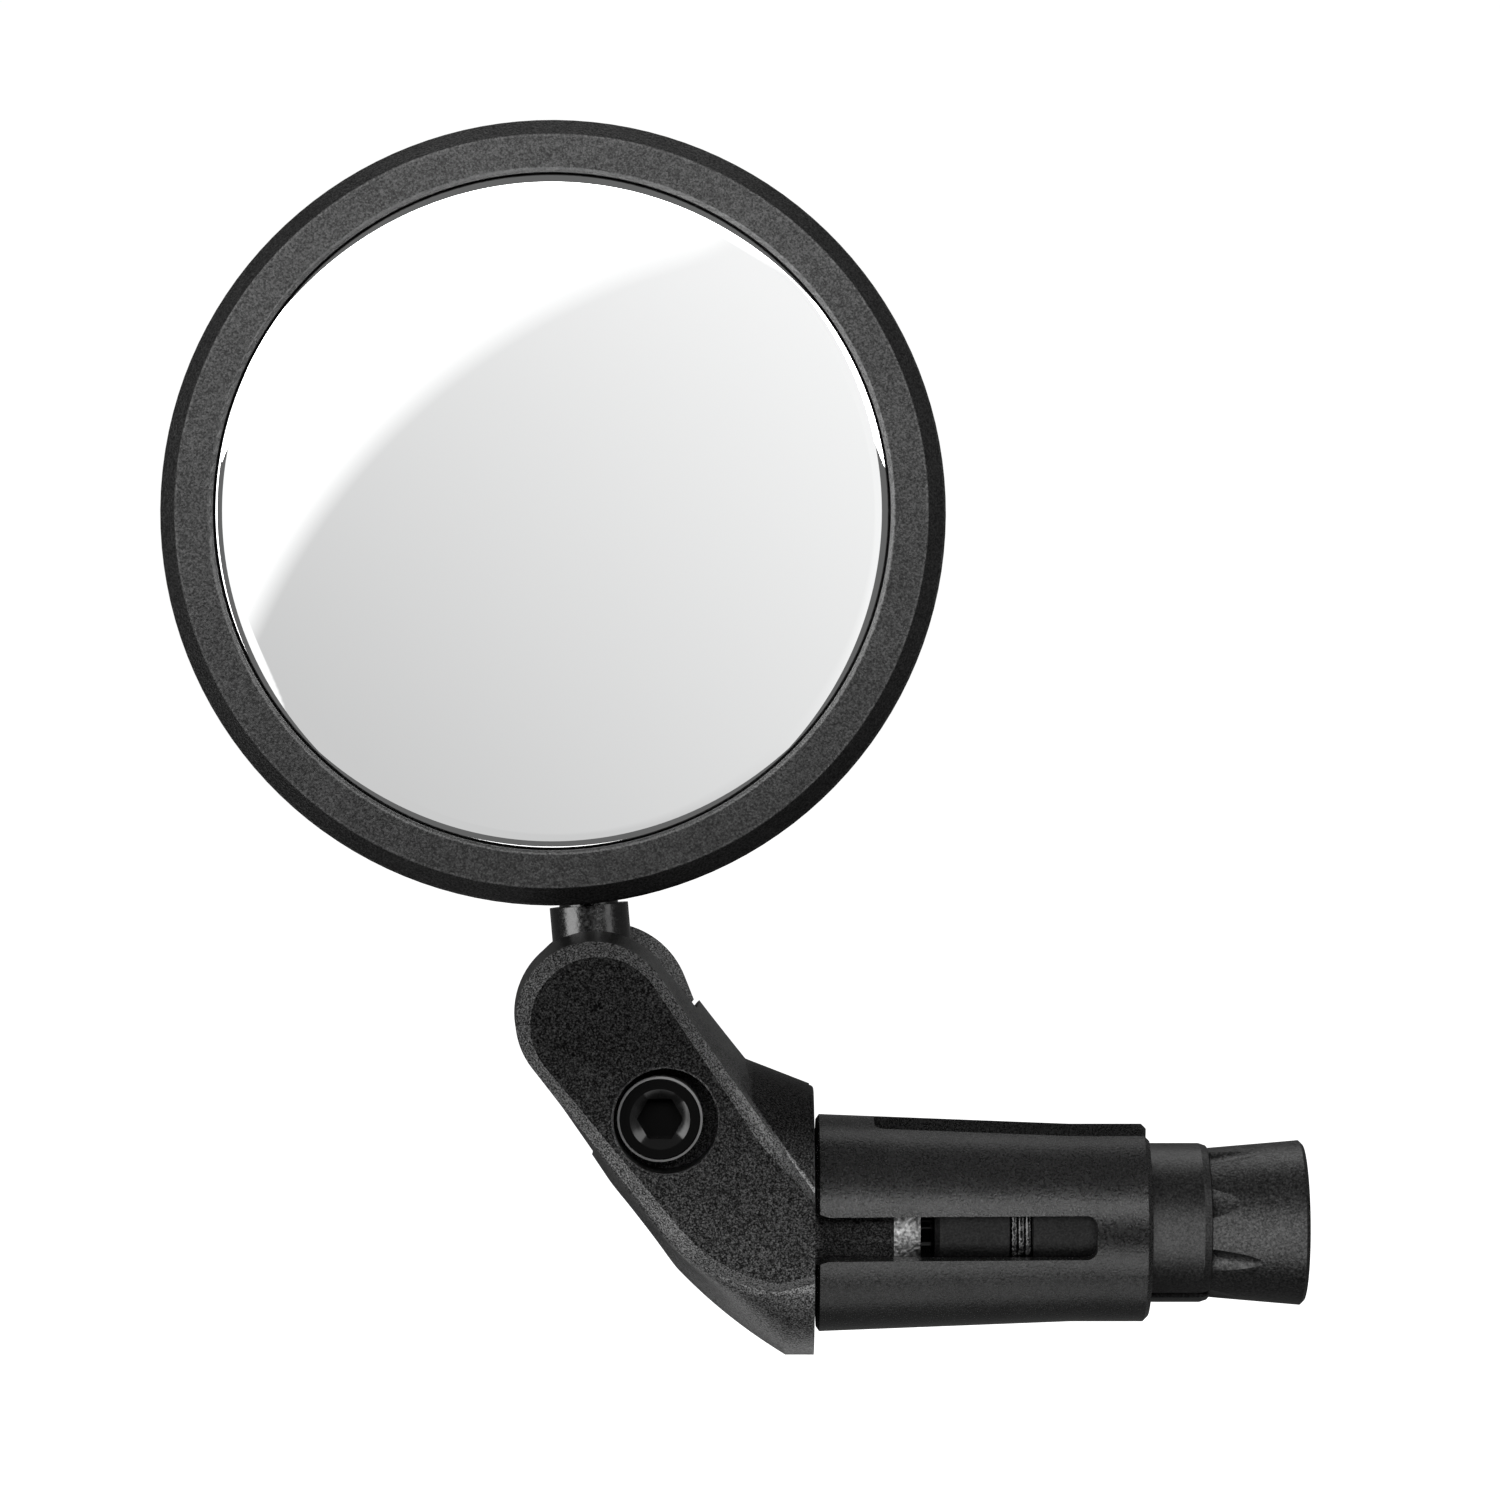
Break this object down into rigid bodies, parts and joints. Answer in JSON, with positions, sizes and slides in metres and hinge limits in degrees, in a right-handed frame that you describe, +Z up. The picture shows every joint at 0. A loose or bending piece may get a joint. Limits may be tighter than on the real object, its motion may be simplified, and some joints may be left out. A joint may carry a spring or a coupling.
{
  "type": "bar-end mirror",
  "caption": "Round convex rear-view mirror on a clamped ball-joint arm, held in a handlebar's open end by an expanding two-size plug.",
  "frame": {"origin": "where the plug's axis meets the arm flange's right face, against which the handlebar's end sits", "axes": "+X along the plug into the handlebar, +Z up, and the mirror faces -Y"},
  "size_m": [0.1155, 0.0246, 0.1248],
  "materials": {
    "arm_black": "fine-grained matt black coating on a die casting",
    "head_black": "fine matt black anodising",
    "sleeve_black": "satin black anodising",
    "wedge_black": "satin black, turned",
    "stem_metal": "satin dark plating",
    "black_steel": "glossy black oxide",
    "zinc_steel": "zinc plated",
    "ring_steel": "bright spring wire",
    "bare_casting": "rough bare metal",
    "mirror_glass": "polished, silvered behind",
    "foam_pad": "closed-cell adhesive foam",
    "backing_plastic": "moulded"
  },
  "bodies": {
    "plug": {"adapter_sleeve": "sleeve_black", "collet_sleeve": "sleeve_black", "collet_ring": "ring_steel"},
    "arm": {"arm_body": "arm_black", "inner_wedge": "bare_casting", "expander_washer": "zinc_steel"},
    "expander": {"expander_bolt": "black_steel"},
    "wedge": {"end_wedge": "wedge_black", "wedge_nut": "zinc_steel"},
    "clamp_screw": {"clamp_bolt": "black_steel"},
    "rear_jaw": {"rear_clamp": "arm_black", "clamp_nut": "zinc_steel"},
    "ball": {"ball": "stem_metal"},
    "stem": {"stem": "stem_metal", "stem_washer": "zinc_steel", "stem_screw": "zinc_steel"},
    "head": {"bezel_ring": "head_black", "mirror_glass": "mirror_glass", "glass_pad": "foam_pad", "backing_plate": "backing_plastic", "rear_shell": "head_black"}
  },
  "joints": [
    {"name": "bar_swivel", "type": "hinge", "parent": "plug", "child": "arm", "pos_m": [0, 0, 0], "axis": [1, 0, 0], "continuous": true},
    {"name": "expander_turn", "type": "hinge", "parent": "arm", "child": "expander", "pos_m": [-0.0065, 0, 0], "axis": [1, 0, 0], "range_deg": [0, 675.01]},
    {"name": "wedge_pull", "type": "slide", "parent": "plug", "child": "wedge", "axis": [1, 0, 0], "range_m": [-0.0015, 0]},
    {"name": "clamp_screw_turn", "type": "hinge", "parent": "arm", "child": "clamp_screw", "pos_m": [-0.0154, -0.0063, 0.0113], "axis": [0, 1, 0], "range_deg": [-720.01, 0]},
    {"name": "rear_jaw_open", "type": "slide", "parent": "arm", "child": "rear_jaw", "axis": [0, 1, 0], "range_m": [0, 0.0016]},
    {"name": "mirror_swing", "type": "hinge", "parent": "arm", "child": "ball", "pos_m": [-0.0219, 0, 0.0216], "axis": [0, 1, 0], "range_deg": [-125, 50]},
    {"name": "mirror_tilt", "type": "hinge", "parent": "ball", "child": "stem", "pos_m": [-0.0219, 0, 0.0216], "axis": [0.9962, 0, 0.0872], "range_deg": [-7, 7]},
    {"name": "mirror_spin", "type": "hinge", "parent": "stem", "child": "head", "pos_m": [-0.0219, 0, 0.0216], "axis": [-0.0872, 0, 0.9962], "continuous": true}
  ],
  "couplings": [
    {"joint": "expander_turn", "follows": "wedge_pull", "rad_per_m": -7854},
    {"joint": "clamp_screw_turn", "follows": "rear_jaw_open", "rad_per_m": -7854}
  ]
}
